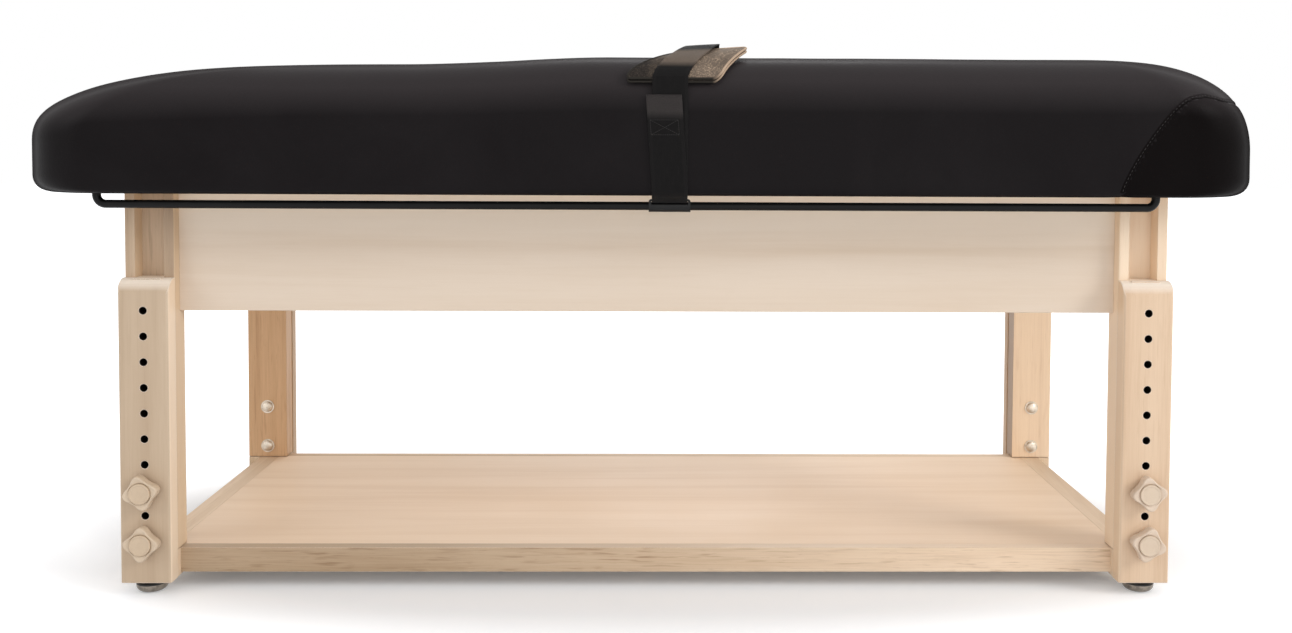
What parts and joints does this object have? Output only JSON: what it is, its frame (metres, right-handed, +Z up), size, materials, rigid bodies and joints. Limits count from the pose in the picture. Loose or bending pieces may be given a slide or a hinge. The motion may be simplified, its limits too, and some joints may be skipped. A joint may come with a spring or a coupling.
{
  "type": "stretching table",
  "caption": "Upholstered stretching table on a wooden apron frame with a shelf, legs that slide for height and lock with star knobs, screw feet, strap rails under the top and a sliding strap.",
  "frame": {"origin": "on the floor under the middle of the whole object", "axes": "+X runs along the table from its left end to its right end, -Y is the front with the strap's pad, +Z is up"},
  "size_m": [1.822, 0.7708, 0.8246],
  "materials": {
    "maple_legs": "satin",
    "maple_hidden": "matte",
    "maple_rails": "satin",
    "maple_panel": "satin",
    "maple_apron": "satin",
    "plywood": "matte",
    "foam": "matte",
    "black_vinyl": "satin",
    "black_rod": "satin",
    "zinc": "satin",
    "black_ring": "matte",
    "nickel": "polished",
    "knob_beige": "satin",
    "webbing": "matte",
    "black_hook": "satin",
    "pad_vinyl": "matte"
  },
  "bodies": {
    "base": {"outer_leg_fl": "maple_legs", "outer_leg_fr": "maple_legs", "outer_leg_rl": "maple_legs", "outer_leg_rr": "maple_legs", "foot_block_fl": "maple_hidden", "foot_block_fr": "maple_hidden", "foot_block_rl": "maple_hidden", "foot_block_rr": "maple_hidden", "shelf_panel": "maple_panel", "shelf_rail_front": "maple_rails", "shelf_rail_rear": "maple_rails", "shelf_rail_left": "maple_rails", "shelf_rail_right": "maple_rails", "foot_inserts": "zinc"},
    "upper": {"inner_post_fl": "maple_legs", "inner_post_fr": "maple_legs", "inner_post_rl": "maple_legs", "inner_post_rr": "maple_legs", "apron_front": "maple_apron", "apron_rear": "maple_apron", "apron_left": "maple_apron", "apron_right": "maple_apron", "deck_braces": "maple_hidden", "deck": "plywood", "foam_core": "foam", "cushion_cover": "black_vinyl", "strap_rail_front": "black_rod", "strap_rail_rear": "black_rod", "leg_bolts": "zinc", "bolt_washers": "zinc"},
    "foot_fl": {"foot_fl": "nickel", "foot_ring_fl": "black_ring"},
    "foot_fr": {"foot_fr": "nickel", "foot_ring_fr": "black_ring"},
    "foot_rl": {"foot_rl": "nickel", "foot_ring_rl": "black_ring"},
    "foot_rr": {"foot_rr": "nickel", "foot_ring_rr": "black_ring"},
    "knob_fl_upper": {"knob_fl_upper": "knob_beige"},
    "knob_fl_lower": {"knob_fl_lower": "knob_beige"},
    "knob_fr_upper": {"knob_fr_upper": "knob_beige"},
    "knob_fr_lower": {"knob_fr_lower": "knob_beige"},
    "knob_rl_upper": {"knob_rl_upper": "knob_beige"},
    "knob_rl_lower": {"knob_rl_lower": "knob_beige"},
    "knob_rr_upper": {"knob_rr_upper": "knob_beige"},
    "knob_rr_lower": {"knob_rr_lower": "knob_beige"},
    "strap": {"strap_webbing": "webbing", "strap_hook_front": "black_hook", "strap_hook_rear": "black_hook", "strap_pad_lower": "pad_vinyl", "strap_pad_upper": "pad_vinyl"}
  },
  "joints": [
    {"name": "height_slide", "type": "slide", "parent": "base", "child": "upper", "axis": [0, 0, 1], "range_m": [0, 0.2286]},
    {"name": "foot_fl_screw", "type": "slide", "parent": "base", "child": "foot_fl", "axis": [0, 0, -1], "range_m": [0, 0.018]},
    {"name": "foot_fr_screw", "type": "slide", "parent": "base", "child": "foot_fr", "axis": [0, 0, -1], "range_m": [0, 0.018]},
    {"name": "foot_rl_screw", "type": "slide", "parent": "base", "child": "foot_rl", "axis": [0, 0, -1], "range_m": [0, 0.018]},
    {"name": "foot_rr_screw", "type": "slide", "parent": "base", "child": "foot_rr", "axis": [0, 0, -1], "range_m": [0, 0.018]},
    {"name": "knob_fl_upper_turn", "type": "hinge", "parent": "upper", "child": "knob_fl_upper", "pos_m": [-0.737, -0.3175, 0.161], "axis": [0, 1, 0], "continuous": true},
    {"name": "knob_fl_lower_turn", "type": "hinge", "parent": "upper", "child": "knob_fl_lower", "pos_m": [-0.737, -0.3175, 0.0848], "axis": [0, 1, 0], "continuous": true},
    {"name": "knob_fr_upper_turn", "type": "hinge", "parent": "upper", "child": "knob_fr_upper", "pos_m": [0.749, -0.3175, 0.161], "axis": [0, 1, 0], "continuous": true},
    {"name": "knob_fr_lower_turn", "type": "hinge", "parent": "upper", "child": "knob_fr_lower", "pos_m": [0.749, -0.3175, 0.0848], "axis": [0, 1, 0], "continuous": true},
    {"name": "knob_rl_upper_turn", "type": "hinge", "parent": "upper", "child": "knob_rl_upper", "pos_m": [-0.737, 0.3175, 0.161], "axis": [0, 1, 0], "continuous": true},
    {"name": "knob_rl_lower_turn", "type": "hinge", "parent": "upper", "child": "knob_rl_lower", "pos_m": [-0.737, 0.3175, 0.0848], "axis": [0, 1, 0], "continuous": true},
    {"name": "knob_rr_upper_turn", "type": "hinge", "parent": "upper", "child": "knob_rr_upper", "pos_m": [0.749, 0.3175, 0.161], "axis": [0, 1, 0], "continuous": true},
    {"name": "knob_rr_lower_turn", "type": "hinge", "parent": "upper", "child": "knob_rr_lower", "pos_m": [0.749, 0.3175, 0.0848], "axis": [0, 1, 0], "continuous": true},
    {"name": "strap_slide", "type": "slide", "parent": "upper", "child": "strap", "axis": [1, 0, 0], "range_m": [-0.75, 0.6]}
  ]
}
